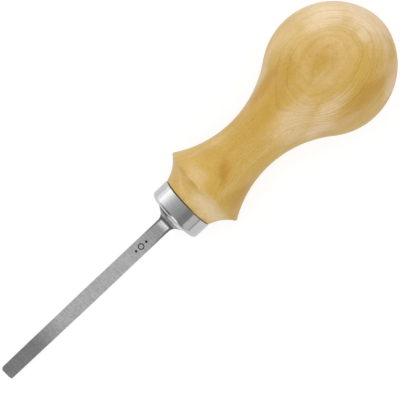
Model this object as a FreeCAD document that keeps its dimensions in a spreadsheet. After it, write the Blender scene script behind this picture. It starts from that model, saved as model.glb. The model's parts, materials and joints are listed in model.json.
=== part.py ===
import FreeCAD, Part
import math
import os
import Sketcher

# A palm chisel for wood carving: a slim straight blade with a forged bolster and tang,
# a pressed steel ferrule and a turned pear-shaped handle.
#
# Every piece is drawn about its own X axis, which is the axis of the tool. A "station" is
# a distance from the cutting edge along that axis, in millimetres, and local Z points out
# of the upper flat of the blade. One placement then lays all the pieces down together,
# with the cutting edge and the bulb of the handle touching the surface at Z = 0.

SIZES = {
    # blade seen from above: half widths, from the axis
    "edge_half_width": 2.36,
    "middle_half_width": 2.5,
    "neck_half_width": 2.43,
    "middle_station": 35.5,
    "corner_clip": 0.65,
    "worn_corner_length": 0.35,
    "worn_corner_width": 1.1,
    "flare_station": 67.3,
    "flare_radius": 3.8,
    # blade seen from the side: heights above the axis
    "edge_half_land": 0.05,
    "blade_half_thickness": 1.5,
    "bevel_end": 12.4,
    "bevel_blend_end": 25.2,
    "swell_station": 55.3,
    "swell_arc_radius": 290.0,
    "ramp_station": 68.4,
    "ramp_arc_radius": 3.0,
    # neck and bolster, turned about the axis
    "turning_station": 53.5,
    "turning_radius": 2.94,
    "neck_station": 68.55,
    "neck_radius": 2.49,
    "neck_arc_radius": 3.0,
    "bolster_angle": 57.0,
    "bolster_radius": 6.0,
    # tang, square and tapered
    "tang_root_half": 2.1,
    "tang_end_half": 0.9,
    "tang_end_station": 114.0,
    # punched mark on the upper flat: a dot, a ring and a dot
    "mark_station": 59.25,
    "mark_depth": 0.15,
    "mark_pitch": 2.2,
    "mark_dot_radius": 0.42,
    "mark_ring_radius": 1.05,
    "mark_ring_inner": 0.7,
    # ferrule
    "ferrule_front": 72.9,
    "ferrule_rear": 79.15,
    "ferrule_radius": 9.5,
    "ferrule_wall": 1.1,
    "ferrule_rounding": 1.2,
    "ferrule_chamfer": 0.15,
    "ferrule_hole_radius": 3.1,
    # handle
    "shoulder_station": 79.45,
    "shoulder_radius": 9.5,
    "shoulder_chamfer": 0.2,
    "spigot_chamfer": 0.6,
    "cove_arc_radius": 12.5,
    "lip_station": 86.5,
    "lip_radius": 14.4,
    "lip_rounding": 0.4,
    "waist_arc_radius": 35.3,
    "bulb_station": 139.75,
    "bulb_radius": 20.4,
    "flank_drop": 1.6,
    "cap_radius": 17.0,
    "pilot_radius": 1.7,
    "pilot_depth": 43.0,
    # room left around a piece by the outlines that only cut away
    "clearance": 2.0,
}

doc = FreeCAD.newDocument("palm_chisel")
sheet = doc.addObject("Spreadsheet::Sheet", "sizes")
for row, (alias, number) in enumerate(SIZES.items(), start=1):
    sheet.set(f"A{row}", str(number))
    sheet.setAlias(f"A{row}", alias)
doc.recompute()


# ---- sums of sheet cells, written out as text: "ferrule_front + ferrule_wall" ----

def amount(text):
    """What such a sum comes to now."""
    total = 0.0
    sign = 1.0
    for word in text.split():
        if word in ("+", "-"):
            sign = 1.0 if word == "+" else -1.0
        else:
            total += sign * float(sheet.get(word))
    return total


def formula(text):
    """The same sum as an expression that follows the sheet."""
    return " ".join(word if word in ("+", "-") else "sizes." + word for word in text.split())


def require(condition, claim):
    """Stops before anything is written when a claim about the model is false."""
    if not condition:
        raise RuntimeError("not true: " + claim)


# ---- sketches: AXIS as a coordinate means that the point lies on the sketch's axis ----

AXIS = "axis"
FREE = "free"
START, END, CENTRE = 1, 2, 3
ORIGIN = (-1, 1)
X_AXIS, Y_AXIS = -1, -2
# lengths closer than this are equal, in mm, and a cut smaller than this missed, in cubic mm
FIT = 1e-6
MISSED = 0.1


def new_sketch(body, name, plane="XZ_Plane", offset=None):
    """A sketch on an origin plane of the body, or at an offset in front of that plane."""
    sketch = body.newObject("Sketcher::SketchObject", name)
    planes = [part for part in body.Origin.OriginFeatures if part.Role == plane]
    sketch.AttachmentSupport = [(planes[0], "")]
    sketch.MapMode = "FlatFace"
    if offset:
        sketch.setExpression("AttachmentOffset.Base.z", formula(offset))
    return sketch


def bind(sketch, constraint, name, expression):
    """Adds a dimension and ties it to the sheet."""
    index = sketch.addConstraint(constraint)
    sketch.renameConstraint(index, name)
    sketch.setExpression("Constraints." + name, expression)


def place_point(sketch, edge, which, name, place):
    """Dimensions one point of an edge from the sketch's origin."""
    for axis, other_axis, text in zip("XY", (Y_AXIS, X_AXIS), place):
        if text == AXIS:
            sketch.addConstraint(Sketcher.Constraint("PointOnObject", edge, which, other_axis))
        elif text != FREE:
            distance = Sketcher.Constraint("Distance" + axis, *ORIGIN, edge, which, amount(text))
            bind(sketch, distance, f"{name}_{axis.lower()}", formula(text))


def bulge_point(start, end, radius, side):
    """The middle of an arc of that radius, on the left (+1) or right (-1) of its chord."""
    chord = end - start
    half = chord.Length / 2.0
    rise = radius - math.sqrt(max(radius ** 2 - half ** 2, 0.0))
    left = FreeCAD.Vector(-chord.y, chord.x, 0.0).normalize()
    return (start + end) * 0.5 + left * (side * rise)


def draw_outline(sketch, corners, arcs=None, smooth=(), guesses=None):
    """Joins the named corners, in order, into one closed outline.

    corners: name -> (across, up), each a sum of sheet cells, AXIS or FREE.
    arcs: the corner that an arc starts from -> (radius, side), where the radius is a sum of
    sheet cells or a number to start the solver from, and side is +1 where the arc bulges to
    the left of the way from that corner to the next.
    smooth: the corners that the outline passes without a kink.
    guesses: where a corner with a FREE coordinate starts, before the arcs settle it.

    Returns the edge that starts at each corner, as its number in the sketch.
    """
    arcs = arcs or {}
    guesses = guesses or {}
    names = list(corners)
    followers = dict(zip(names, names[1:] + names[:1]))
    points = {}
    for name, place in corners.items():
        known = [0.0 if text in (AXIS, FREE) else amount(text) for text in place]
        points[name] = FreeCAD.Vector(*guesses.get(name, known), 0.0)
    edges = {}
    for name in names:
        start, end = points[name], points[followers[name]]
        shape = Part.LineSegment(start, end)
        if name in arcs:
            radius, side = arcs[name]
            length = amount(radius) if isinstance(radius, str) else radius
            shape = Part.Arc(start, bulge_point(start, end, length, side), end)
        edge = sketch.addGeometry(shape)
        clockwise = sketch.getPoint(edge, START).distanceToPoint(start) > FIT
        edges[name] = (edge, END, START) if clockwise else (edge, START, END)
        if name in arcs and isinstance(radius, str):
            bend = Sketcher.Constraint("Radius", edge, amount(radius))
            bind(sketch, bend, name + "_arc", formula(radius))
    for name, place in corners.items():
        edge, here, there = edges[name]
        follower, follower_here, _ = edges[followers[name]]
        joint = "Tangent" if followers[name] in smooth else "Coincident"
        sketch.addConstraint(Sketcher.Constraint(joint, edge, there, follower, follower_here))
        place_point(sketch, edge, here, name, place)
    return {name: edge for name, (edge, _, _) in edges.items()}


def draw_square(sketch, half):
    """A square about the sketch's origin, given half its side."""
    minus = "- " + half
    draw_outline(sketch, {
        "near_low": (minus, minus),
        "far_low": (half, minus),
        "far_high": (half, half),
        "near_high": (minus, half),
    })


def draw_circle(sketch, name, radius, across=AXIS):
    """A circle on the sketch's X axis."""
    station = 0.0 if across == AXIS else amount(across)
    centre = FreeCAD.Vector(station, 0.0, 0.0)
    edge = sketch.addGeometry(Part.Circle(centre, FreeCAD.Vector(0, 0, 1), amount(radius)))
    place_point(sketch, edge, CENTRE, name, (across, AXIS))
    bind(sketch, Sketcher.Constraint("Radius", edge, amount(radius)), name + "_size", formula(radius))


# ---- features ----

def new_body(name):
    body = doc.addObject("PartDesign::Body", name)
    body.Label = name
    return body


def turn(body, kind, name, sketch):
    """Turns an outline about the tool's axis: a Revolution adds and a Groove cuts."""
    feature = body.newObject("PartDesign::" + kind, name)
    feature.Profile = sketch
    feature.ReferenceAxis = (sketch, ["H_Axis"])
    feature.Angle = 360.0
    return feature


def extrude(body, kind, name, sketch, length, both_ways=False, backwards=False):
    """A Pad or a Pocket whose length follows the sheet."""
    feature = body.newObject("PartDesign::" + kind, name)
    feature.Profile = sketch
    feature.SideType = "Symmetric" if both_ways else "One side"
    feature.Reversed = backwards
    feature.setExpression("Length", length)
    return feature


def taper(body, kind, name, first, last):
    """Lofts from one sketch to another."""
    feature = body.newObject("PartDesign::" + kind, name)
    feature.Profile = first
    feature.Sections = [last]
    feature.Ruled = True
    return feature


def round_rims(body, kind, name, base, rims, size):
    """Fillets or chamfers the full circles that lie at the given (station, radius) places."""
    doc.recompute()
    found = []
    for number, edge in enumerate(base.Shape.Edges, start=1):
        if edge.Degenerated or not isinstance(edge.Curve, Part.Circle):
            continue
        for station, radius in rims:
            near_station = abs(edge.Curve.Center.x - amount(station)) < FIT
            if near_station and abs(edge.Curve.Radius - amount(radius)) < FIT:
                found.append(f"Edge{number}")
    require(len(found) == len(rims), f"every rim of {name} is found")
    feature = body.newObject("PartDesign::" + kind, name)
    feature.Base = (base, found)
    feature.setExpression("Radius" if kind == "Fillet" else "Size", formula(size))
    return feature


def changed_volume(body, before):
    """How much more the body holds than before, in cubic millimetres."""
    doc.recompute()
    return body.Shape.Volume - before


def tang_sections(body):
    """The two squares between which the tang tapers, for the tang and for its socket."""
    root = new_sketch(body, "tang_root", "YZ_Plane", "ferrule_front")
    draw_square(root, "tang_root_half")
    end = new_sketch(body, "tang_end", "YZ_Plane", "tang_end_station")
    draw_square(end, "tang_end_half")
    return root, end


# ---- blade: one forging, from the cutting edge to the end of the tang ----

def make_blade():
    body = new_body("blade")

    plan = new_sketch(body, "blade_plan", "XY_Plane")
    flare_end = "flare_station + flare_radius"
    flare_width = "neck_half_width + flare_radius"
    draw_outline(plan, {
        "clip_front": (AXIS, "edge_half_width - corner_clip"),
        "clip_side": ("corner_clip", "edge_half_width"),
        "middle_left": ("middle_station", "middle_half_width"),
        "neck_left": ("flare_station", "neck_half_width"),
        "flare_left": (flare_end, flare_width),
        "back_left": ("ferrule_front", flare_width),
        "back_right": ("ferrule_front", "- neck_half_width - flare_radius"),
        "flare_right": (flare_end, "- neck_half_width - flare_radius"),
        "neck_right": ("flare_station", "- neck_half_width"),
        "middle_right": ("middle_station", "- middle_half_width"),
        "worn_side": ("worn_corner_length", "- edge_half_width"),
        "worn_front": (AXIS, "- edge_half_width + worn_corner_width"),
    }, arcs={"neck_left": ("flare_radius", -1), "flare_right": ("flare_radius", -1)})
    blank_height = "2 * (sizes.bolster_radius + sizes.clearance)"
    extrude(body, "Pad", "blank", plan, blank_height, both_ways=True)

    cut_top = "bolster_radius + clearance"
    blend_arc_guess = 166.0
    side = new_sketch(body, "upper_side")
    side_edges = draw_outline(side, {
        "edge_land": (AXIS, "edge_half_land"),
        "bevel_end": ("bevel_end", FREE),
        "blend_end": ("bevel_blend_end", "blade_half_thickness"),
        "swell": ("swell_station", "blade_half_thickness"),
        "ramp": ("ramp_station", FREE),
        "ramp_end": (FREE, FREE),
        "top_back": (FREE, cut_top),
        "top_front": ("- clearance", cut_top),
        "low_front": ("- clearance", "edge_half_land"),
    }, arcs={
        "bevel_end": (blend_arc_guess, 1),
        "swell": ("swell_arc_radius", -1),
        "ramp": ("ramp_arc_radius", -1),
    }, smooth=("bevel_end", "blend_end", "swell", "ramp", "ramp_end"), guesses={
        "bevel_end": (12.4, 1.0),
        "ramp": (68.4, 1.8),
        "ramp_end": (70.8, 3.2),
        "top_back": (73.9, 8.0),
    })
    slope = Sketcher.Constraint("Angle", side_edges["ramp_end"], math.radians(amount("bolster_angle")))
    bind(side, slope, "ramp_slope", "sizes.bolster_angle")
    upper = extrude(body, "Pocket", "upper_cut", side, blank_height, both_ways=True)
    doc.recompute()
    lower = body.newObject("PartDesign::Mirrored", "lower_cut")
    lower.Originals = [upper]
    planes = [part for part in body.Origin.OriginFeatures if part.Role == "XY_Plane"]
    lower.MirrorPlane = (planes[0], [""])
    body.Tip = lower

    turning = new_sketch(body, "turning")
    turning_edges = draw_outline(turning, {
        "start": ("turning_station", "turning_radius"),
        "neck": ("neck_station", "neck_radius"),
        "cone": (FREE, FREE),
        "rim_front": (FREE, "bolster_radius"),
        "rim_back": ("ferrule_front", "bolster_radius"),
        "outer_back": ("ferrule_front", cut_top + " + clearance"),
        "outer_front": ("turning_station", cut_top + " + clearance"),
    }, arcs={"neck": ("neck_arc_radius", -1)}, smooth=("cone",), guesses={
        "cone": (71.1, 3.9),
        "rim_front": (72.5, 6.0),
    })
    slope = Sketcher.Constraint("Angle", turning_edges["cone"], math.radians(amount("bolster_angle")))
    bind(turning, slope, "cone_slope", "sizes.bolster_angle")
    neck_arc = turning_edges["neck"]
    level_start = Sketcher.Constraint("DistanceX", *ORIGIN, neck_arc, CENTRE, amount("neck_station"))
    bind(turning, level_start, "neck_centre", formula("neck_station"))
    before = changed_volume(body, 0.0)
    turn(body, "Groove", "turned_neck", turning)
    require(changed_volume(body, before) < -MISSED, "the turning cuts the blank")

    before = body.Shape.Volume
    root, end = tang_sections(body)
    taper(body, "AdditiveLoft", "tang", root, end)
    require(changed_volume(body, before) > MISSED, "the tang is added")

    before = body.Shape.Volume
    mark = new_sketch(body, "mark_outline", "XY_Plane", "blade_half_thickness + mark_depth")
    draw_circle(mark, "front_dot", "mark_dot_radius", "mark_station - mark_pitch")
    draw_circle(mark, "ring", "mark_ring_radius", "mark_station")
    draw_circle(mark, "ring_middle", "mark_ring_inner", "mark_station")
    draw_circle(mark, "back_dot", "mark_dot_radius", "mark_station + mark_pitch")
    extrude(body, "Pocket", "mark", mark, "2 * sizes.mark_depth")
    require(changed_volume(body, before) < -MISSED, "the mark is sunk")
    return body


# ---- ferrule: a pressed steel cap, open behind, with a hole for the tang ----

def make_ferrule():
    body = new_body("ferrule")
    wall = new_sketch(body, "wall_section")
    inner_front = "ferrule_front + ferrule_wall"
    inner_radius = "ferrule_radius - ferrule_wall"
    draw_outline(wall, {
        "hole_front": ("ferrule_front", "ferrule_hole_radius"),
        "outer_front": ("ferrule_front", "ferrule_radius"),
        "outer_rear": ("ferrule_rear", "ferrule_radius"),
        "inner_rear": ("ferrule_rear", inner_radius),
        "inner_front": (inner_front, inner_radius),
        "hole_back": (inner_front, "ferrule_hole_radius"),
    })
    cap = turn(body, "Revolution", "cap", wall)
    front = [("ferrule_front", "ferrule_radius")]
    rounded = round_rims(body, "Fillet", "front_rounding", cap, front, "ferrule_rounding")
    rear = [("ferrule_rear", "ferrule_radius")]
    round_rims(body, "Chamfer", "rear_chamfer", rounded, rear, "ferrule_chamfer")
    return body


# ---- handle: turned from one piece of wood, with a spigot inside the ferrule ----

def make_handle():
    body = new_body("handle")
    half_section = new_sketch(body, "half_section")
    spigot_front = "ferrule_front + ferrule_wall"
    spigot_radius = "ferrule_radius - ferrule_wall"
    flank_radius = "bulb_radius + flank_drop"
    lip_centre = ("lip_station", "lip_radius - lip_rounding")
    edges = draw_outline(half_section, {
        "spigot_centre": (spigot_front, AXIS),
        "spigot_front": (spigot_front, spigot_radius),
        "spigot_back": ("shoulder_station", spigot_radius),
        "shoulder_face": ("shoulder_station", "shoulder_radius - shoulder_chamfer"),
        "shoulder": ("shoulder_station + shoulder_chamfer", "shoulder_radius"),
        "lip": (FREE, FREE),
        "waist": (FREE, FREE),
        "flank": (FREE, FREE),
        "cap": (FREE, FREE),
        "end": (FREE, AXIS),
    }, arcs={
        "shoulder": ("cove_arc_radius", -1),
        "lip": ("lip_rounding", 1),
        "waist": ("waist_arc_radius", -1),
        "flank": (flank_radius, 1),
        "cap": ("cap_radius", 1),
    }, smooth=("lip", "waist", "flank", "cap"), guesses={
        "lip": (86.16, 14.22),
        "waist": (86.7, 14.34),
        "flank": (126.5, 15.9),
        "cap": (160.6, 5.3),
        "end": (161.5, 0.0),
    })
    place_point(half_section, edges["lip"], CENTRE, "lip_centre", lip_centre)
    place_point(half_section, edges["flank"], CENTRE, "flank_centre", ("bulb_station", "- flank_drop"))
    half_section.addConstraint(Sketcher.Constraint("PointOnObject", edges["cap"], CENTRE, X_AXIS))
    turned = turn(body, "Revolution", "turned", half_section)
    spigot = [(spigot_front, spigot_radius)]
    round_rims(body, "Chamfer", "spigot_chamfer", turned, spigot, "spigot_chamfer")

    before = changed_volume(body, 0.0)
    pilot = new_sketch(body, "pilot_circle", "YZ_Plane", spigot_front)
    draw_circle(pilot, "pilot", "pilot_radius")
    extrude(body, "Pocket", "pilot_hole", pilot, "sizes.pilot_depth", backwards=True)
    require(changed_volume(body, before) < -MISSED, "the pilot hole is bored")

    before = body.Shape.Volume
    root, end = tang_sections(body)
    taper(body, "SubtractiveLoft", "tang_socket", root, end)
    require(changed_volume(body, before) < -MISSED, "the tang's corners are let in")
    return body


# ---- the tool lying at rest on the lip and the bulb of its handle ----

def lay_down(body):
    """Tilts the axis up towards the handle and centres the tool's length on the origin.

    The surface is the common tangent of the two arcs that touch it, under the lip and
    under the bulb, so the cutting edge hangs a little above it. The tool's rear end is
    part of a sphere, the cap, whose centre is on the axis.
    """
    lip_centre = "(sizes.lip_radius - sizes.lip_rounding)"
    flank = "(sizes.bulb_radius + sizes.flank_drop)"
    along = "(sizes.bulb_station - sizes.lip_station)"
    across = f"({lip_centre} + sizes.flank_drop)"
    tilt = f"(asin(({flank} - sizes.lip_rounding) / hypot({along}; {across})) - atan({across} / {along}))"
    cap_offset = f"sqrt(({flank} - sizes.cap_radius) ^ 2 - sizes.flank_drop ^ 2)"
    length = f"((sizes.bulb_station + {cap_offset}) * cos({tilt}) + sizes.cap_radius)"
    height = f"({lip_centre} * cos({tilt}) + sizes.lip_rounding - sizes.lip_station * sin({tilt}))"
    body.Placement.Rotation = FreeCAD.Rotation(FreeCAD.Vector(0.0, -1.0, 0.0), 6.0)
    body.setExpression("Placement.Rotation.Angle", tilt)
    body.setExpression("Placement.Base.x", f"- {length} / 2")
    body.setExpression("Placement.Base.z", height)


bodies = [make_blade(), make_ferrule(), make_handle()]
for body in bodies:
    lay_down(body)
doc.recompute()

for item in doc.Objects:
    failed = {"Invalid", "Error"} & set(item.State)
    require(not failed, f"{item.Name} is built: {item.getStatusString()}")
    if item.TypeId == "Sketcher::SketchObject":
        require(item.FullyConstrained, f"{item.Name} is fully dimensioned")

os.makedirs("parts", exist_ok=True)
for body in bodies:
    shape = body.Shape
    require(not shape.isNull() and shape.isValid(), f"{body.Label} is a valid shape")
    require(len(shape.Solids) == 1, f"{body.Label} is one solid")
    shape.exportStep(f"parts/{body.Label}.step")
    box = shape.optimalBoundingBox(False, False)
    print(f"{body.Label}: {shape.Volume:.1f} cubic mm, X {box.XMin:.3f} to {box.XMax:.3f},"
          f" Y {box.YMin:.3f} to {box.YMax:.3f}, Z {box.ZMin:.3f} to {box.ZMax:.3f}")
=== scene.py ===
import json
import math

import bmesh
import bpy
from mathutils import Matrix, Vector


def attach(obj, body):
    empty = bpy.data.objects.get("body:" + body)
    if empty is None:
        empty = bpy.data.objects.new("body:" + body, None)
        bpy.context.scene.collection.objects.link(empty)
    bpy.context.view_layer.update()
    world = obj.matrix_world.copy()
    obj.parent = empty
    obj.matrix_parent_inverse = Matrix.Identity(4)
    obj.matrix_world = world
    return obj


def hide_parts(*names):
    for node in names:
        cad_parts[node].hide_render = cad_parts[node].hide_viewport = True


# A palm chisel lying on a pale surface, seen from straight above.
#
# The three pieces are drawn about the tool's own axis, in millimetres: a "station" is a
# distance from the cutting edge along that axis, and height points out of the upper flat
# of the blade. TOOL_TO_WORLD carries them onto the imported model, which is in metres.

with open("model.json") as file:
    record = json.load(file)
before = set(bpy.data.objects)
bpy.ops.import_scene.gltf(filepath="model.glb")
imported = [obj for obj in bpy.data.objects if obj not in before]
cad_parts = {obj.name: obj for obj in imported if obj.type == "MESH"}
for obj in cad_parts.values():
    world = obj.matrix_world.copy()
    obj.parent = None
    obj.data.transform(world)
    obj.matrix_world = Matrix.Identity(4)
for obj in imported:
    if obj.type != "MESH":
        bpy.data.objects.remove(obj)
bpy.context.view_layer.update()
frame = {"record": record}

MILLIMETRE = 0.001
SEAT_STATION = 76.55
seat = next(mount for mount in frame["record"]["mounts"] if mount["name"] == "ferrule_seat")
along = -Vector(seat["axis"]).normalized()
across = Vector((0.0, 1.0, 0.0))
upward = along.cross(across)
TIP = Vector(seat["pos_m"]) - along * SEAT_STATION * MILLIMETRE
TOOL_TURN = Matrix((along, across, upward)).transposed()
TOOL_TO_WORLD = Matrix.Translation(TIP) @ TOOL_TURN.to_4x4() @ Matrix.Scale(MILLIMETRE, 4)

# blade, in plan and from the side
EDGE_HALF_WIDTH = 2.36
MIDDLE_STATION, MIDDLE_HALF_WIDTH = 35.5, 2.5
FLARE_STATION, FLARE_RADIUS = 67.3, 3.8
NECK_HALF_WIDTH = 2.43
CORNER_CLIP = 0.65
WORN_LENGTH, WORN_WIDTH = 0.35, 1.1
EDGE_HALF_LAND = 0.05
HALF_THICKNESS = 1.5
BEVEL_END, BLEND_END = 12.4, 25.2
SWELL_STATION, SWELL_RADIUS = 55.3, 290.0
RAMP_STATION, RAMP_RADIUS = 68.4, 3.0
# its turned neck and its bolster
TURNING_STATION, TURNING_RADIUS = 53.5, 2.94
NECK_STATION, NECK_RADIUS, NECK_ARC = 68.55, 2.49, 3.0
BOLSTER_SLOPE = math.radians(57.0)
BOLSTER_RADIUS = 6.0
EDGE_SOFTNESS = 0.07
# its tang, inside the handle
TANG_ROOT_HALF, TANG_END_HALF, TANG_END = 2.1, 0.9, 114.0
# its mark
MARK_STATION, MARK_PITCH, MARK_DEPTH = 59.25, 2.2, 0.15
DOT_RADIUS, RING_RADIUS, RING_INNER = 0.42, 1.05, 0.7
# ferrule
FERRULE_FRONT, FERRULE_REAR = 72.9, 79.15
FERRULE_RADIUS, FERRULE_WALL = 9.5, 1.1
FERRULE_ROUNDING, FERRULE_CHAMFER = 1.2, 0.15
FERRULE_HOLE = 3.1
# handle
SHOULDER_STATION, SHOULDER_RADIUS, SHOULDER_CHAMFER = 79.45, 9.5, 0.2
COVE_ARC = 12.5
LIP_STATION, LIP_RADIUS, LIP_ROUNDING = 86.5, 14.4, 0.4
WAIST_ARC = 35.3
BULB_STATION, BULB_RADIUS, FLANK_DROP = 139.75, 20.4, 1.6
CAP_RADIUS = 17.0
SPIGOT_CHAMFER = 0.6
PILOT_RADIUS, PILOT_END = 1.7, 117.0

# the camera's place over the tool, and the width of the surface that it sees
CAMERA_PLACE = Vector((0.00168, -0.00203, 0.8))
CAMERA_TURN = math.radians(-43.3)
VIEW_WIDTH = 0.12658
SENSOR_WIDTH = 36.0

# points around the handle and ferrule, and around a dot of the mark
ROUND_POINTS, MARK_POINTS = 192, 48
# points nearer to each other than this, in metres, are one point
WELD = 1e-6


# ---- outlines: lists of (station, distance from the axis) ----

def arc(centre, radius, start, end, step):
    """Points of an arc from one angle to another, about a step apart."""
    pieces = max(2, round(abs(end - start) * radius / step))
    angles = [start + (end - start) * piece / pieces for piece in range(pieces + 1)]
    return [centre + Vector((math.cos(angle), math.sin(angle))) * radius for angle in angles]


def line(start, end, step):
    """Points of a straight stretch, about a step apart."""
    start, end = Vector(start), Vector(end)
    pieces = max(1, round((end - start).length / step))
    return [start.lerp(end, piece / pieces) for piece in range(pieces + 1)]


def joined(*stretches):
    """One list from several stretches, with each shared point kept once."""
    points = []
    for stretch in stretches:
        points += [point for point in stretch if not points or (point - points[-1]).length > 1e-5]
    return points


def bearing(start, end):
    """The angle of the way from one point to another."""
    return math.atan2(end.y - start.y, end.x - start.x)


def crossing(first, first_radius, second, second_radius):
    """Where two circles cross, on the side further from the axis."""
    gap = (second - first).length
    reach = (gap ** 2 + first_radius ** 2 - second_radius ** 2) / (2.0 * gap)
    forward = (second - first) / gap
    sideways = Vector((-forward.y, forward.x))
    return first + forward * reach + sideways * math.sqrt(first_radius ** 2 - reach ** 2)


def grip_outline():
    """The handle from its shoulder to its rear end: five arcs that run into each other."""
    shoulder = Vector((SHOULDER_STATION + SHOULDER_CHAMFER, SHOULDER_RADIUS))
    lip = Vector((LIP_STATION, LIP_RADIUS - LIP_ROUNDING))
    flank = Vector((BULB_STATION, -FLANK_DROP))
    flank_radius = BULB_RADIUS + FLANK_DROP
    cap_shift = math.sqrt((flank_radius - CAP_RADIUS) ** 2 - FLANK_DROP ** 2)
    cap = Vector((BULB_STATION + cap_shift, 0.0))
    cove = crossing(shoulder, COVE_ARC, lip, COVE_ARC + LIP_ROUNDING)
    waist = crossing(lip, WAIST_ARC + LIP_ROUNDING, flank, WAIST_ARC + flank_radius)
    lip_start, lip_end = bearing(lip, cove), bearing(lip, waist)
    return joined(
        arc(cove, COVE_ARC, bearing(cove, shoulder), bearing(cove, lip), 0.4),
        arc(lip, LIP_ROUNDING, lip_start, lip_end, 0.05),
        arc(waist, WAIST_ARC, bearing(waist, lip), bearing(waist, flank), 0.6),
        arc(flank, flank_radius, bearing(flank, waist), bearing(flank, cap), 0.6),
        arc(cap, CAP_RADIUS, bearing(flank, cap), 0.0, 0.5),
    )


def ferrule_outline():
    """The wall of the ferrule, from the hole in its front round to the back of that hole."""
    inner = FERRULE_RADIUS - FERRULE_WALL
    back = FERRULE_FRONT + FERRULE_WALL
    turn = Vector((FERRULE_FRONT + FERRULE_ROUNDING, FERRULE_RADIUS - FERRULE_ROUNDING))
    rear_side = (FERRULE_REAR - FERRULE_CHAMFER, FERRULE_RADIUS)
    rear_face = (FERRULE_REAR, FERRULE_RADIUS - FERRULE_CHAMFER)
    return joined(
        line((FERRULE_FRONT, FERRULE_HOLE), (FERRULE_FRONT, turn.y), 0.6),
        arc(turn, FERRULE_ROUNDING, math.pi, math.pi / 2.0, 0.1),
        line((turn.x, FERRULE_RADIUS), rear_side, 0.4),
        line(rear_side, rear_face, 0.2),
        line(rear_face, (FERRULE_REAR, inner), 0.5),
        line((FERRULE_REAR, inner), (back, inner), 0.5),
        line((back, inner), (back, FERRULE_HOLE), 0.6),
    )


# ---- sections: rings of (station, across, up) ----

def round_section(station, radius, count):
    """A circle about the axis."""
    turns = [2.0 * math.pi * index / count for index in range(count)]
    return [Vector((station, radius * math.cos(turn), radius * math.sin(turn))) for turn in turns]


def tang_half(station):
    """Half the tang's side."""
    share = (station - FERRULE_FRONT) / (TANG_END - FERRULE_FRONT)
    return TANG_ROOT_HALF + (TANG_END_HALF - TANG_ROOT_HALF) * share


def socket_section(station, count):
    """The hole in the handle: the round pilot hole with the tang's corners let in."""
    points = []
    for index in range(count):
        turn = 2.0 * math.pi * index / count
        side = max(abs(math.cos(turn)), abs(math.sin(turn)))
        square = tang_half(station) / side if station <= TANG_END else 0.0
        reach = max(PILOT_RADIUS, square)
        points.append(Vector((station, reach * math.cos(turn), reach * math.sin(turn))))
    return points


def upper_height(station):
    """Height of the blade's upper side: bevel, flat, slow swell, then the ramp to the bolster."""
    slope = (HALF_THICKNESS - EDGE_HALF_LAND) / (BEVEL_END + (BLEND_END - BEVEL_END) / 2.0)
    if station < BEVEL_END:
        return EDGE_HALF_LAND + slope * station
    if station < BLEND_END:
        return HALF_THICKNESS - slope * (BLEND_END - station) ** 2 / (2.0 * (BLEND_END - BEVEL_END))
    if station < SWELL_STATION:
        return HALF_THICKNESS
    if station < RAMP_STATION:
        return HALF_THICKNESS + (station - SWELL_STATION) ** 2 / (2.0 * SWELL_RADIUS)
    start_slope = math.atan((RAMP_STATION - SWELL_STATION) / SWELL_RADIUS)
    centre = RAMP_STATION - RAMP_RADIUS * math.sin(start_slope)
    centre_height = upper_height(RAMP_STATION - 1e-6) + RAMP_RADIUS * math.cos(start_slope)
    return hollow_height(station, centre, centre_height, RAMP_RADIUS)


def turned_radius(station):
    """Radius of the turned neck and bolster. Ahead of the neck it is out of the blade's way."""
    if station < TURNING_STATION:
        return BOLSTER_RADIUS
    if station < NECK_STATION:
        share = (station - TURNING_STATION) / (NECK_STATION - TURNING_STATION)
        return TURNING_RADIUS + (NECK_RADIUS - TURNING_RADIUS) * share
    radius = hollow_height(station, NECK_STATION, NECK_RADIUS + NECK_ARC, NECK_ARC)
    return min(radius, BOLSTER_RADIUS)


def hollow_height(station, centre, centre_height, radius):
    """A hollow arc that starts level under its centre and leaves at the bolster's slope."""
    leave = centre + radius * math.sin(BOLSTER_SLOPE)
    if station < leave:
        return centre_height - math.sqrt(radius ** 2 - (station - centre) ** 2)
    rise = (station - leave) * math.tan(BOLSTER_SLOPE)
    return centre_height - radius * math.cos(BOLSTER_SLOPE) + rise


def half_width(station, side):
    """Half width of the blade in plan, on the +Y side (+1) or the -Y side (-1)."""
    if station < CORNER_CLIP and side > 0:
        return EDGE_HALF_WIDTH - CORNER_CLIP + station
    if station < WORN_LENGTH and side < 0:
        return EDGE_HALF_WIDTH - WORN_WIDTH * (1.0 - station / WORN_LENGTH)
    if station < MIDDLE_STATION:
        share = station / MIDDLE_STATION
        return EDGE_HALF_WIDTH + (MIDDLE_HALF_WIDTH - EDGE_HALF_WIDTH) * share
    if station < FLARE_STATION:
        share = (station - MIDDLE_STATION) / (FLARE_STATION - MIDDLE_STATION)
        return MIDDLE_HALF_WIDTH + (NECK_HALF_WIDTH - MIDDLE_HALF_WIDTH) * share
    reach = min(station - FLARE_STATION, FLARE_RADIUS)
    return NECK_HALF_WIDTH + FLARE_RADIUS - math.sqrt(FLARE_RADIUS ** 2 - reach ** 2)


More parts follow.
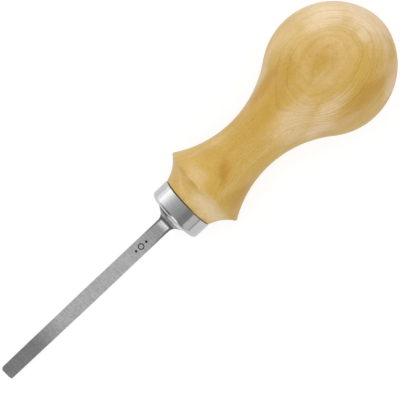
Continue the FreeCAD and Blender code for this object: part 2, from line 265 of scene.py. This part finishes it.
def blade_section(station, corner_steps=12, flat_steps=6):
    """A rectangle, cut by the turned circle where that is smaller, with softened edges.

    Each quarter of the section is followed by the direction that it faces: the furthest
    point of the shrunken section that way, moved out by the softness of the edges.
    """
    soft = min(EDGE_SOFTNESS, 0.6 * upper_height(station))
    high = upper_height(station) - soft
    circle = turned_radius(station) - soft
    corners = []
    for quarter in range(4):
        side = 1 if quarter in (0, 3) else -1
        rise = 1 if quarter in (0, 1) else -1
        wide = half_width(station, side) - soft
        points = []
        for step in range(corner_steps + 1):
            turn = (quarter + step / corner_steps) * math.pi / 2.0
            facing = Vector((abs(math.cos(turn)), abs(math.sin(turn))))
            furthest = facing * circle
            if furthest.x > wide:
                reach = math.sqrt(max(circle ** 2 - wide ** 2, 0.0))
                furthest = Vector((wide, min(high, reach)))
            elif furthest.y > high:
                furthest = Vector((min(wide, math.sqrt(circle ** 2 - high ** 2)), high))
            point = furthest + facing * soft
            points.append(Vector((station, side * point.x, rise * point.y)))
        corners.append(points)
    section = []
    for here, there in zip(corners, corners[1:] + corners[:1]):
        section += here
        section += [here[-1].lerp(there[0], step / flat_steps) for step in range(1, flat_steps)]
    return section


# ---- meshes ----

def weld(shell):
    """Makes near points one point and removes the faces that this leaves without area."""
    bmesh.ops.remove_doubles(shell, verts=shell.verts, dist=WELD)
    bmesh.ops.dissolve_degenerate(shell, edges=shell.edges, dist=WELD)


def skin(name, rings, closed=False):
    """A surface over rings of equally many points: its ends are filled, unless it is closed."""
    mesh = bpy.data.meshes.new(name)
    shell = bmesh.new()
    rows = [[shell.verts.new(TOOL_TO_WORLD @ point) for point in points] for points in rings]
    count = len(rows[0])
    pairs = list(zip(rows, rows[1:]))
    if closed:
        pairs.append((rows[-1], rows[0]))
    for here, there in pairs:
        for index in range(count):
            after = (index + 1) % count
            shell.faces.new((here[index], here[after], there[after], there[index]))
    if not closed:
        for row, points in ((rows[0], rings[0]), (rows[-1], rings[-1])):
            centre = sum(points, Vector()) / count
            middle = shell.verts.new(TOOL_TO_WORLD @ centre)
            for index in range(count):
                shell.faces.new((middle, row[index], row[(index + 1) % count]))
    weld(shell)
    bmesh.ops.recalc_face_normals(shell, faces=shell.faces)
    shell.to_mesh(mesh)
    shell.free()
    piece = bpy.data.objects.new(name, mesh)
    bpy.context.scene.collection.objects.link(piece)
    return piece


def shade(piece, sharp_angle):
    """Smooth shading, except over edges that turn more than the angle."""
    mesh = piece.data
    mesh.polygons.foreach_set("use_smooth", [True] * len(mesh.polygons))
    mesh.set_sharp_from_angle(angle=math.radians(sharp_angle))


def sink(piece, cutters):
    """Cuts the cutters out of a piece and removes them."""
    for cutter in cutters:
        cut = piece.modifiers.new(cutter.name, "BOOLEAN")
        cut.operation = "DIFFERENCE"
        cut.solver = "EXACT"
        cut.object = cutter
    evaluated = piece.evaluated_get(bpy.context.evaluated_depsgraph_get())
    mesh = bpy.data.meshes.new_from_object(evaluated)
    shell = bmesh.new()
    shell.from_mesh(mesh)
    weld(shell)
    shell.to_mesh(mesh)
    shell.free()
    piece.modifiers.clear()
    piece.data = mesh
    for cutter in cutters:
        bpy.data.objects.remove(cutter)


def stand_in(piece, node, slot, *materials):
    """Shows a finished piece in place of its CAD node."""
    for material in materials:
        piece.data.materials.append(material)
    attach(piece, "root")
    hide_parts(node)


# ---- shader nodes ----

class Shader:
    """Adds nodes to one node tree, a short call for each."""

    def __init__(self, tree):
        self.tree = tree
        tree.nodes.clear()

    def add(self, kind, inputs=None, **settings):
        """A node: an input that is a socket is linked, and any other is set."""
        node = self.tree.nodes.new("ShaderNode" + kind)
        for key, value in settings.items():
            setattr(node, key, value)
        for key, value in (inputs or {}).items():
            if isinstance(value, bpy.types.NodeSocket):
                self.tree.links.new(value, node.inputs[key])
            else:
                node.inputs[key].default_value = value
        return node

    def calc(self, operation, *values):
        """Arithmetic on numbers and sockets."""
        return self.add("Math", dict(enumerate(values)), operation=operation).outputs[0]

    def scaled(self, place, factors):
        """A place with each coordinate multiplied by its own factor."""
        inputs = {0: place, 1: factors}
        return self.add("VectorMath", inputs, operation="MULTIPLY").outputs[0]

    def noise(self, place, factors, detail=2.0, roughness=0.5):
        """Noise between 0 and 1: factors are its cycles for each millimetre of each axis."""
        inputs = {"Vector": self.scaled(place, factors), "Scale": 1.0, "Detail": detail,
                  "Roughness": roughness}
        return self.add("TexNoise", inputs).outputs["Fac"]

    def step(self, value, start, end, low=0.0, high=1.0):
        """A smooth step from low to high as the value goes from start to end."""
        inputs = {"Value": value, "From Min": start, "From Max": end, "To Min": low, "To Max": high}
        return self.add("MapRange", inputs, interpolation_type="SMOOTHSTEP").outputs["Result"]

    def blend(self, share, first, second):
        """A colour between two others."""
        first_colour, second_colour, mixed_colour = 6, 7, 2
        inputs = {"Factor": share, first_colour: first, second_colour: second}
        return self.add("Mix", inputs, data_type="RGBA").outputs[mixed_colour]

    def tinted(self, colour, factor):
        """A colour made lighter or darker by a factor."""
        return self.add("VectorMath", {0: colour, "Scale": factor}, operation="SCALE").outputs[0]

    def bump(self, height, distance, normal=None):
        """A bumped normal: the distance is in millimetres."""
        inputs = {"Height": height, "Distance": distance * MILLIMETRE}
        if normal:
            inputs["Normal"] = normal
        return self.add("Bump", inputs).outputs["Normal"]

    def finish(self, inputs):
        """The surface itself, from the inputs of a principled shader."""
        surface = self.add("BsdfPrincipled", inputs).outputs[0]
        self.add("OutputMaterial", {"Surface": surface})


def new_shader(name):
    """A new material, and the shader that adds its nodes."""
    material = bpy.data.materials.new(name)
    material.use_nodes = True
    return material, Shader(material.node_tree)


def tool_place(shader):
    """The place of a point in the tool's own frame, in millimetres."""
    coordinates = shader.add("TexCoord").outputs["Object"]
    inputs = {"Vector": coordinates, "Location": TIP, "Rotation": TOOL_TURN.to_euler(),
              "Scale": (MILLIMETRE,) * 3}
    return shader.add("Mapping", inputs, vector_type="TEXTURE").outputs[0]


def colour(red, green, blue):
    """A colour given as it looks on a screen, from 0 to 255, in the shaders' linear values."""
    shares = [level / 255.0 for level in (red, green, blue)]
    return (*[((share + 0.055) / 1.055) ** 2.4 for share in shares], 1.0)


def grey(level):
    """A grey given in the shaders' linear values."""
    return (level, level, level, 1.0)


# ---- materials ----

# the wood's colours, some of them also used for painted light and painted shade, and the painted
# shade in its joint with the ferrule
GOLDEN_WOOD = colour(201, 164, 78)
PALE_WOOD_AND_PAINTED_LIGHT = colour(228, 202, 161)
DEEP_WOOD_AND_PAINTED_SHADE = colour(192, 152, 62)
RING_WOOD = colour(172, 124, 48)
STREAK_WOOD_AND_PAINTED_SHADE = colour(184, 134, 38)
JOINT_SHADE = colour(38, 28, 18)
# the growth rings lie almost level over the bulb: they lean to one side and bow along the tool
RING_PITCH, FINE_RING_PITCH = 2.3, 0.62
RING_LEAN = 0.12
RING_BOW, RING_BOW_LENGTH = 6.4, 70.0
# they also wander, in millimetres: slowly along the handle, in ripples, and from ring to ring
RING_DRIFT, RING_RIPPLE, RING_UNEVENNESS = 2.0, 0.2, 2.5
# soft patches of colour on the upper side, in no order, mostly the wood's own figure; the pale ones
# on the cove and the rear end are painted light, and the deep and streak ones on the +Y edge in
# front of the bulb are painted shade:
# station, across, half length, half width, slant in degrees, strength
PALE_AND_PAINTED_LIGHT_PATCHES = ((121.0, -4.0, 13.0, 6.5, 0.0, 0.65), (83.5, -5.5, 4.5, 9.0, 0.0, 0.8),
                (88.5, 5.0, 3.6, 5.5, 0.0, 0.4), (131.0, -9.0, 12.0, 4.0, 0.0, 0.75),
                (158.5, 5.0, 8.0, 16.0, 0.0, 1.0), (151.0, 13.0, 12.0, 7.5, -25.0, 1.0),
                (137.0, 16.5, 12.0, 3.5, 0.0, 0.35), (92.0, -6.0, 5.0, 1.6, 0.0, 0.25),
                (125.0, -11.0, 9.0, 2.6, -8.0, 0.7), (82.0, -8.0, 2.4, 3.0, 0.0, 0.7),
                (151.0, -16.0, 9.0, 3.4, 38.0, 0.9))
DEEP_AND_PAINTED_SHADE_PATCHES = ((143.0, -13.5, 14.0, 4.5, 0.0, 0.9), (110.0, 5.0, 17.0, 6.5, 0.0, 0.8),
                (130.0, 8.5, 13.0, 7.5, 20.0, 0.95), (139.5, 3.0, 9.5, 6.0, 0.0, 1.0),
                (139.0, 8.0, 8.0, 5.0, 0.0, 0.75), (93.0, -9.0, 8.0, 4.0, 0.0, 1.0),
                (96.0, 0.5, 7.0, 3.6, 42.0, 0.8), (96.0, 6.5, 7.0, 3.5, -30.0, 0.8),
                (86.0, 8.5, 1.1, 2.6, 0.0, 0.8), (126.0, 10.0, 16.0, 4.0, 12.0, 0.7))
STREAK_AND_PAINTED_SHADE_PATCHES = ((94.4, -1.2, 4.8, 2.0, 44.0, 0.9), (86.0, 3.2, 1.0, 2.4, 0.0, 0.5),
                  (143.0, -13.5, 12.0, 3.4, 0.0, 0.4), (121.0, 9.8, 13.0, 2.2, 10.0, 0.7))
# the blade's bevels and flats, its sides and neck in painted shade, then the foot and flank of its
# bolster in painted shade and a painted highlight for its rim
BEVEL_STEEL = grey(0.28)
FLAT_STEEL = (0.635, 0.635, 0.64, 1.0)
SHADED_SIDE_STEEL = grey(0.27)
SHADED_NECK_STEEL = grey(0.13)
FOOT_SHADE_STEEL = grey(0.05)
SHADED_FLANK_STEEL = grey(0.34)
RIM_HIGHLIGHT_STEEL = grey(0.85)
FERRULE_STEEL = (0.57, 0.57, 0.575)
# the bottom of the mark
DARK_OXIDE = (0.012, 0.012, 0.013, 1.0)
PALE_OXIDE = (0.05, 0.05, 0.052, 1.0)


def patches(shader, place, height, places):
    """How much of any of some soft patches there is, on the upper side."""
    endless = 1e6
    total = 0.0
    ragged = shader.noise(place, (0.12, 0.25, 0.25), 3.0)
    for station, across, half_length, half_width, slant, strength in places:
        inputs = {"Vector": place, "Location": (station, across, 0.0),
                  "Rotation": (0.0, 0.0, math.radians(slant)),
                  "Scale": (half_length, half_width, endless)}
        offset = shader.add("Mapping", inputs, vector_type="TEXTURE").outputs[0]
        distance = shader.add("VectorMath", {0: offset}, operation="LENGTH").outputs["Value"]
        distance = shader.calc("MULTIPLY_ADD", ragged, 0.8, shader.calc("SUBTRACT", distance, 0.4))
        total = shader.calc("MAXIMUM", total, shader.step(distance, 1.05, 0.15, 0.0, strength))
    return shader.calc("MULTIPLY", total, shader.step(height, -2.0, 5.0))


def ring_lines(shader, level, pitch, start, full):
    """Lines of late wood: each darkens slowly from one ring to the next and then stops."""
    phase = shader.calc("FRACT", shader.calc("DIVIDE", level, pitch))
    stop = shader.step(phase, 0.96, 1.0, 1.0, 0.0)
    return shader.calc("MULTIPLY", shader.step(phase, start, full), stop)


def make_wood():
    """Close-grained pale hardwood, whose growth rings are cut into ovals by the bulb."""
    material, shader = new_shader("lacquered_hardwood")
    place = tool_place(shader)
    axes = shader.add("SeparateXYZ", {0: place}).outputs

    # how far up through the rings a point lies
    from_bulb = shader.calc("SUBTRACT", axes[0], BULB_STATION)
    turn = shader.calc("MULTIPLY", from_bulb, 2.0 * math.pi / RING_BOW_LENGTH)
    bow = shader.calc("MULTIPLY_ADD", shader.calc("COSINE", turn), -RING_BOW / 2.0, RING_BOW / 2.0)
    lean = shader.calc("MULTIPLY_ADD", axes[1], RING_LEAN, axes[2])
    drift = shader.noise(place, (0.045, 0.09, 0.09), 2.0)
    ripple = shader.noise(place, (0.5, 0.9, 0.9), 2.0)
    level = shader.calc("MULTIPLY_ADD", drift, RING_DRIFT, shader.calc("ADD", lean, bow))
    level = shader.calc("MULTIPLY_ADD", ripple, RING_RIPPLE, level)
    through = shader.add("CombineXYZ", {"Z": level}).outputs[0]
    uneven = shader.noise(through, (0.0, 0.0, 0.3), 1.0)
    level = shader.calc("MULTIPLY_ADD", uneven, RING_UNEVENNESS, level)

    # soft bands that follow the rings, and the paler and deeper patches, some of them painted light
    # and painted shade
    banded = shader.add("CombineXYZ", {"X": axes[0], "Y": axes[1], "Z": level}).outputs[0]
    band = shader.noise(banded, (0.03, 0.05, 0.25), 3.0, 0.55)
    tone = shader.blend(shader.step(band, 0.42, 0.75, 0.0, 0.5), GOLDEN_WOOD, PALE_WOOD_AND_PAINTED_LIGHT)
    tone = shader.blend(patches(shader, place, axes[2], PALE_AND_PAINTED_LIGHT_PATCHES), tone, PALE_WOOD_AND_PAINTED_LIGHT)
    tone = shader.blend(patches(shader, place, axes[2], DEEP_AND_PAINTED_SHADE_PATCHES), tone, DEEP_WOOD_AND_PAINTED_SHADE)

    # lines of late wood: strong ones mostly on the bulb, faint ones mostly on its -Y flank
    fading = shader.noise(place, (0.04, 0.08, 0.08), 2.0)
    strong = ring_lines(shader, level, RING_PITCH, 0.8, 0.96)
    strong = shader.calc("MULTIPLY", strong, shader.step(fading, 0.35, 0.65, 0.14, 0.4))
    strong = shader.calc("MULTIPLY", strong, shader.step(axes[0], 100.0, 122.0, 0.3, 1.0))
    faint = ring_lines(shader, level, FINE_RING_PITCH, 0.3, 0.9)
    faint = shader.calc("MULTIPLY", faint, shader.step(fading, 0.6, 0.4, 0.05, 0.17))
    faint = shader.calc("MULTIPLY", faint, shader.step(axes[1], -6.0, -12.0, 1.0, 2.4))
    tone = shader.blend(shader.calc("MAXIMUM", strong, faint), tone, RING_WOOD)
    # streaks, one of them painted shade on the +Y edge in front of the bulb
    tone = shader.blend(patches(shader, place, axes[2], STREAK_AND_PAINTED_SHADE_PATCHES), tone, STREAK_WOOD_AND_PAINTED_SHADE)

    # fibres, silky figure and pores
    fibre = shader.noise(place, (0.16, 3.0, 3.0), 3.0, 0.6)
    silk = shader.noise(place, (0.7, 1.1, 1.1), 4.0, 0.65)
    pores = shader.noise(place, (1.4, 4.5, 4.5), 2.0, 0.6)
    grain = shader.calc("MULTIPLY_ADD", fibre, 0.16, 0.92)
    grain = shader.calc("MULTIPLY", grain, shader.calc("MULTIPLY_ADD", silk, 0.2, 0.9))
    grain = shader.calc("MULTIPLY", grain, shader.calc("MULTIPLY_ADD", pores, 0.46, 0.77))
    tone = shader.tinted(tone, grain)

    # a small brown fleck in some of the cells of a coarse pattern
    stretched = shader.scaled(place, (0.25, 0.4, 0.4))
    cells = shader.add("TexVoronoi", {"Vector": stretched, "Scale": 1.0}).outputs
    chosen = shader.add("SeparateColor", {0: cells["Color"]}).outputs[0]
    fleck = shader.step(cells["Distance"], 0.06, 0.13, 1.0, 0.0)
    fleck = shader.calc("MULTIPLY", fleck, shader.step(chosen, 0.6, 0.7))
    tone = shader.blend(shader.calc("MULTIPLY", fleck, 0.45), tone, STREAK_WOOD_AND_PAINTED_SHADE)

    # painted shade in the joint with the ferrule, less of it on the -Y side
    joint_shade = shader.step(axes[0], 79.6, 79.4)
    joint_shade = shader.calc("MULTIPLY", joint_shade, shader.step(axes[1], -7.0, 0.0, 0.0, 0.85))
    tone = shader.blend(joint_shade, tone, JOINT_SHADE)

    # a thin lacquer over fibres and turning marks
    rough = shader.calc("MULTIPLY_ADD", fibre, 0.12, 0.38)
    turning = shader.noise(place, (4.0, 0.05, 0.05), 2.0)
    normal = shader.bump(fibre, 0.02)
    normal = shader.bump(turning, 0.006, normal)
    shader.finish({"Base Color": tone, "Roughness": rough, "Normal": normal, "Coat Weight": 0.1,
                   "Coat Roughness": 0.25, "Specular IOR Level": 0.4})
    return material


def make_blade_steel():
    """Steel ground across the blade. Its bevels are darker; its sides and neck are darker with
    painted shade, as are the flats before the neck, and the ramp to the bolster has a painted
    highlight.

    The direction of a face tells the flats from the sides.
    """
    material, shader = new_shader("ground_steel")
    place = tool_place(shader)
    axes = shader.add("SeparateXYZ", {0: place}).outputs
    station = axes[0]
    normal = shader.add("NewGeometry").outputs["Normal"]
    facing = shader.add("VectorMath", {0: normal, 1: upward}, operation="DOT_PRODUCT")
    flatness = shader.step(shader.calc("ABSOLUTE", facing.outputs["Value"]), 0.55, 0.97)

    ground = shader.blend(shader.step(station, 11.0, 28.0), BEVEL_STEEL, FLAT_STEEL)
    # painted shade on the flats before the neck, then a painted highlight from the ramp up to the
    # bolster
    ground = shader.tinted(ground, shader.step(station, 57.0, 65.5, 1.0, 0.78))
    ground = shader.tinted(ground, shader.step(station, 67.2, 68.6, 1.0, 1.6))
    # painted shade: faces that don't face up or down get darker copies of the steel, darkest at the
    # neck
    shaded_sides = shader.blend(shader.step(station, 60.0, 67.5), SHADED_SIDE_STEEL, SHADED_NECK_STEEL)
    shaded_sides = shader.blend(shader.step(station, 70.0, 71.2), shaded_sides, SHADED_FLANK_STEEL)
    tone = shader.blend(flatness, shaded_sides, ground)

    # painted shade at the foot of the bolster; on the bolster's rim, a painted highlight on the -Y
    # side and painted shade on the +Y side
    foot_shade = shader.step(station, 69.4, 69.9)
    foot_shade = shader.calc("MULTIPLY", foot_shade, shader.step(station, 70.9, 70.4))
    tone = shader.blend(shader.calc("MULTIPLY", foot_shade, 0.8), tone, FOOT_SHADE_STEEL)
    # painted highlight on the -Y side of the rim
    rim_highlight = shader.step(station, 71.6, 72.15)
    rim_highlight = shader.calc("MULTIPLY", rim_highlight, shader.step(axes[1], 1.6, 0.0))
    tone = shader.blend(rim_highlight, tone, RIM_HIGHLIGHT_STEEL)
    # painted shade on the +Y side of the rim
    rim_shade = shader.step(station, 71.5, 72.2)
    rim_shade = shader.calc("MULTIPLY", rim_shade, shader.step(axes[1], 0.8, 2.0))
    tone = shader.tinted(tone, shader.calc("MULTIPLY_ADD", rim_shade, -0.8, 1.0))

    # grinding lines across the blade, with speckles and clouds
    fine = shader.noise(place, (9.0, 0.25, 0.25), 3.0, 0.6)
    broad = shader.noise(place, (1.6, 0.1, 0.1), 2.0)
    speckle = shader.noise(place, (2.2, 1.2, 1.2), 2.0)
    cloud = shader.noise(place, (0.35, 0.35, 0.35), 2.0)
    lines = shader.calc("MULTIPLY_ADD", fine, 0.5, 0.75)
    lines = shader.calc("MULTIPLY", lines, shader.calc("MULTIPLY_ADD", broad, 0.36, 0.82))
    lines = shader.calc("MULTIPLY", lines, shader.calc("MULTIPLY_ADD", speckle, 0.6, 0.7))
    lines = shader.calc("MULTIPLY", lines, shader.calc("MULTIPLY_ADD", cloud, 0.24, 0.88))
    tone = shader.tinted(tone, lines)
    rough = shader.calc("MULTIPLY_ADD", fine, 0.2, 0.27)
    shader.finish({"Base Color": tone, "Metallic": 0.85, "Roughness": rough,
                   "Normal": shader.bump(fine, 0.012)})
    return material


def make_ferrule_steel():
    """Polished steel with faint turning lines."""
    material, shader = new_shader("polished_steel")
    place = tool_place(shader)
    turning = shader.noise(place, (2.6, 0.08, 0.08), 4.0, 0.7)
    haze = shader.noise(place, (0.25, 0.25, 0.25), 2.0)
    tone = shader.tinted(FERRULE_STEEL, shader.calc("MULTIPLY_ADD", turning, 0.3, 0.86))
    rough = shader.calc("MULTIPLY_ADD", haze, 0.08, 0.08)
    shader.finish({"Base Color": tone, "Metallic": 1.0, "Roughness": rough,
                   "Normal": shader.bump(turning, 0.003)})
    return material


def make_mark_fill():
    """The dark oxide left at the bottom of the etched mark."""
    material, shader = new_shader("mark_oxide")
    speckle = shader.noise(tool_place(shader), (6.0, 6.0, 6.0), 2.0)
    tone = shader.blend(speckle, DARK_OXIDE, PALE_OXIDE)
    shader.finish({"Base Color": tone, "Metallic": 0.3, "Roughness": 0.7,
                   "Normal": shader.bump(speckle, 0.02)})
    return material


# ---- the three pieces ----

def make_handle():
    """From the end of its hole forward to the spigot, then back over the outside to its end."""
    spigot_front = FERRULE_FRONT + FERRULE_WALL
    spigot_radius = FERRULE_RADIUS - FERRULE_WALL
    spigot_edge = (spigot_front + SPIGOT_CHAMFER, spigot_radius)
    shoulder_root = (SHOULDER_STATION, spigot_radius)
    shoulder_edge = (SHOULDER_STATION, SHOULDER_RADIUS - SHOULDER_CHAMFER)
    behind_tang = TANG_END + 0.01
    rings = [socket_section(PILOT_END, ROUND_POINTS), socket_section(behind_tang, ROUND_POINTS)]
    for point in line((TANG_END, 0.0), (spigot_front, 0.0), 2.5):
        rings.append(socket_section(point.x, ROUND_POINTS))
    outside = joined(
        line((spigot_front, spigot_radius - SPIGOT_CHAMFER), spigot_edge, 0.5),
        line(spigot_edge, shoulder_root, 0.6),
        line(shoulder_root, shoulder_edge, 0.4),
        grip_outline()[:-1],
    )
    rings += [round_section(point.x, point.y, ROUND_POINTS) for point in outside]
    piece = skin("turned_handle", rings)
    shade(piece, 40.0)
    stand_in(piece, "handle", "handle_wood", make_wood())


def make_ferrule():
    """Its wall, turned about the axis."""
    rings = [round_section(point.x, point.y, ROUND_POINTS) for point in ferrule_outline()]
    piece = skin("steel_ferrule", rings, closed=True)
    shade(piece, 30.0)
    stand_in(piece, "ferrule", "ferrule_steel", make_ferrule_steel())


def blade_stations():
    """Close together at the edge and the bolster, and a millimetre apart between them."""
    stretches = ((0.0, 0.8, 16), (0.8, 12.0, 22), (12.0, 26.0, 28), (26.0, 53.0, 27),
                 (53.0, 66.0, 40), (66.0, 72.62, 110), (72.62, FERRULE_FRONT, 3))
    stations = [0.0]
    for start, end, pieces in stretches:
        stations += [start + (end - start) * piece / pieces for piece in range(1, pieces + 1)]
    return stations


def tang_section(station, count):
    """The square tang, with a point for each point of the blade's sections."""
    half = tang_half(station)
    points = []
    for index in range(count):
        turn = 2.0 * math.pi * index / count
        reach = half / max(abs(math.cos(turn)), abs(math.sin(turn)))
        points.append(Vector((station, reach * math.cos(turn), reach * math.sin(turn))))
    return points


def make_mark_cutters():
    """A dot, a ring and a dot, which sink into the upper flat."""
    floor = HALF_THICKNESS - MARK_DEPTH
    cutters = []
    shapes = (("front_dot", -MARK_PITCH, 0.0, DOT_RADIUS), ("ring", 0.0, RING_INNER, RING_RADIUS),
              ("rear_dot", MARK_PITCH, 0.0, DOT_RADIUS))
    for name, shift, inner, outer in shapes:
        centre = Vector((MARK_STATION + shift, 0.0, 0.0))
        corners = [(outer, floor), (outer, HALF_THICKNESS + 1.0)]
        if inner:
            corners += [(inner, HALF_THICKNESS + 1.0), (inner, floor)]
        rings = []
        for radius, height in corners:
            points = round_section(0.0, radius, MARK_POINTS)
            rings.append([centre + Vector((point.y, point.z, height)) for point in points])
        cutters.append(skin(name, rings, closed=bool(inner)))
    return cutters


def make_blade():
    """The blade and its tang in one skin, with the mark sunk into the upper flat."""
    rings = [blade_section(station) for station in blade_stations()]
    for point in line((FERRULE_FRONT, 0.0), (TANG_END, 0.0), 3.0):
        rings.append(tang_section(point.x, len(rings[0])))
    piece = skin("forged_blade", rings)
    sink(piece, make_mark_cutters())
    stand_in(piece, "blade", "blade_steel", make_blade_steel(), make_mark_fill())
    to_tool = TOOL_TO_WORLD.inverted()
    for face in piece.data.polygons:
        centre = to_tool @ face.center
        in_length = abs(centre.x - MARK_STATION) < MARK_PITCH + RING_RADIUS
        in_width = abs(centre.y) < RING_RADIUS
        if in_length and in_width and 0.0 < centre.z < HALF_THICKNESS - MARK_DEPTH / 4.0:
            face.material_index = 1
    shade(piece, 24.0)


# ---- surroundings ----
#
# The camera sees an even pale floor and wall. Everything else sees light that differs from
# side to side: +Y is the far side, -Y the near side, -X the side of the cutting edge.

FLOOR_REACH = 6.0
SEEN_FLOOR, SEEN_WALL = 0.75, 0.95
FLOOR_LIGHT, FAR_FLOOR_LIGHT = 0.6, 0.4
TENT_LIGHT = 0.45
FAR_LIGHT, FAR_PANEL_LIGHT, FAR_PANEL_TIGHTNESS = 0.31, 1.05, 6.0
NEAR_SHADE, NEAR_PANEL_LIGHT = 0.15, 0.43
EDGE_PANEL_LIGHT, EDGE_CARD_SHADE = 0.9, 0.7
REAR_LIGHT = 0.75


def make_floor():
    """A wide pale floor that gives off some light, more of it on the far side."""
    mesh = bpy.data.meshes.new("floor")
    low, high = -FLOOR_REACH, FLOOR_REACH
    corners = [(low, low, 0.0), (high, low, 0.0), (high, high, 0.0), (low, high, 0.0)]
    mesh.from_pydata(corners, [], [(0, 1, 2, 3)])
    floor = bpy.data.objects.new("floor", mesh)
    bpy.context.scene.collection.objects.link(floor)
    material, shader = new_shader("pale_floor")
    place = shader.add("TexCoord").outputs["Object"]
    far_side = shader.step(shader.add("SeparateXYZ", {0: place}).outputs[1], 0.03, 0.1)
    glow = shader.calc("MULTIPLY_ADD", far_side, FAR_FLOOR_LIGHT, FLOOR_LIGHT)
    seen = shader.add("LightPath").outputs["Is Camera Ray"]
    glow = shader.add("Mix", {0: seen, 2: glow, 3: SEEN_FLOOR}).outputs[0]
    shader.finish({"Base Color": grey(0.3), "Roughness": 0.9, "Specular IOR Level": 0.1,
                   "Emission Color": grey(1.0), "Emission Strength": glow})
    mesh.materials.append(material)


def make_surroundings():
    """A soft tent of light around the tool.

    It is brightest low on the far side and glows behind the handle. A panel stands low on the
    near side, and on the side of the cutting edge a panel beside a dark card.
    """
    world = bpy.data.worlds.new("light_tent")
    world.use_nodes = True
    bpy.context.scene.world = world
    shader = Shader(world.node_tree)
    facing = shader.add("TexCoord").outputs["Generated"]
    axes = shader.add("SeparateXYZ", {0: facing}).outputs
    far_side = shader.calc("MAXIMUM", axes[1], 0.0)
    near_side = shader.calc("MULTIPLY", axes[1], -1.0)
    edge_side = shader.calc("MULTIPLY", axes[0], -1.0)

    light = shader.calc("MULTIPLY_ADD", far_side, FAR_LIGHT, TENT_LIGHT)
    far_panel = shader.calc("POWER", far_side, FAR_PANEL_TIGHTNESS)
    light = shader.calc("MULTIPLY_ADD", far_panel, FAR_PANEL_LIGHT, light)
    light = shader.calc("SUBTRACT", light, shader.step(near_side, 0.05, 0.5, 0.0, NEAR_SHADE))
    near_panel = shader.step(near_side, 0.75, 0.78)
    near_panel = shader.calc("MULTIPLY", near_panel, shader.step(near_side, 0.998, 0.975))
    light = shader.calc("MULTIPLY_ADD", near_panel, NEAR_PANEL_LIGHT, light)

    edge_card = shader.step(edge_side, 0.4, 0.6)
    edge_card = shader.calc("MULTIPLY", edge_card, shader.step(axes[1], 0.1, 0.25))
    dimming = shader.calc("MULTIPLY_ADD", edge_card, -EDGE_CARD_SHADE, 1.0)
    light = shader.calc("MULTIPLY", light, dimming)
    edge_panel = shader.step(edge_side, 0.5, 0.6)
    edge_panel = shader.calc("MULTIPLY", edge_panel, shader.step(axes[1], 0.1, 0.0))
    edge_panel = shader.calc("MULTIPLY", edge_panel, shader.step(axes[1], -0.45, -0.3))
    light = shader.calc("MULTIPLY_ADD", edge_panel, EDGE_PANEL_LIGHT, light)
    light = shader.calc("ADD", light, shader.step(axes[0], 0.5, 1.0, 0.0, REAR_LIGHT))

    tent = shader.add("Background", {"Color": grey(1.0), "Strength": light}).outputs[0]
    wall = shader.add("Background", {"Color": grey(1.0), "Strength": SEEN_WALL}).outputs[0]
    seen = shader.add("LightPath").outputs["Is Camera Ray"]
    mixed = shader.add("MixShader", {0: seen, 1: tent, 2: wall}).outputs[0]
    shader.add("OutputWorld", {"Surface": mixed})


def add_panel(name, place, size, energy):
    """A square soft light that faces the tool and doesn't show in its gloss."""
    light = bpy.data.lights.new(name, "AREA")
    light.size = size
    light.energy = energy
    panel = bpy.data.objects.new(name, light)
    panel.location = place
    panel.rotation_euler = (-Vector(place)).to_track_quat("-Z", "Y").to_euler()
    panel.visible_glossy = False
    bpy.context.scene.collection.objects.link(panel)


def add_camera():
    """A camera straight above the tool, which sees VIEW_WIDTH of the floor."""
    data = bpy.data.cameras.new("camera")
    data.sensor_width = SENSOR_WIDTH
    data.lens = SENSOR_WIDTH * CAMERA_PLACE.z / VIEW_WIDTH
    camera = bpy.data.objects.new("camera", data)
    camera.location = CAMERA_PLACE
    camera.rotation_euler = (0.0, 0.0, CAMERA_TURN)
    bpy.context.scene.collection.objects.link(camera)
    bpy.context.scene.camera = camera


make_handle()
make_ferrule()
make_blade()
make_floor()
make_surroundings()
add_panel("main_light", (-0.1, 0.25, 0.9), 0.7, 2.5)
add_panel("fill_light", (-0.1, -0.4, 0.9), 0.9, 2.9)
add_camera()
bpy.context.scene.view_settings.view_transform = "Standard"
